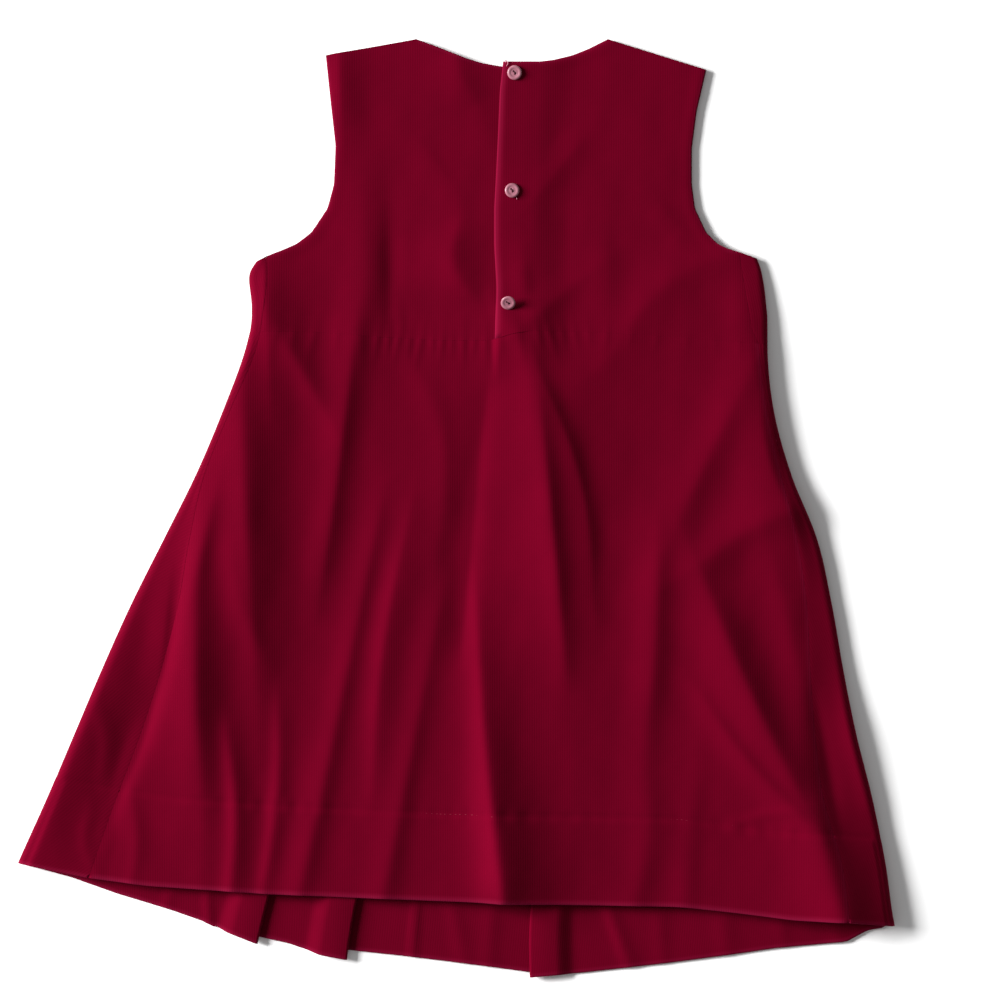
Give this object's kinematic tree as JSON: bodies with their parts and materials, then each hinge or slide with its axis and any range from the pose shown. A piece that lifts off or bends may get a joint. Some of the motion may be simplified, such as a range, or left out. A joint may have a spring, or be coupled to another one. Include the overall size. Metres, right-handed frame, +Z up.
{
  "type": "corduroy dress",
  "caption": "Child's sleeveless corduroy dress laid flat with its back up: empire waist seam, buttoned back placket, flared skirt with a deep hem, and knife pleats in the front.",
  "frame": {"origin": "centre of the footprint of the dress as it lies, on the surface under it", "axes": "+Z up from the surface, +Y from the hem to the neck, +X to the wearer's right, which is the picture's right since the back is up"},
  "size_m": [0.5437, 0.582, 0.0158],
  "materials": {
    "corduroy": "fine crimson needlecord with a soft nap",
    "button": "mauve-pink pearl, dished, glossy"
  },
  "bodies": {
    "root": {"front_bodice": "corduroy", "front_skirt": "corduroy", "back_bodice_left": "corduroy", "back_bodice_right": "corduroy", "back_skirt": "corduroy", "button_1": "button", "button_2": "button", "button_3": "button"}
  },
  "joints": []
}
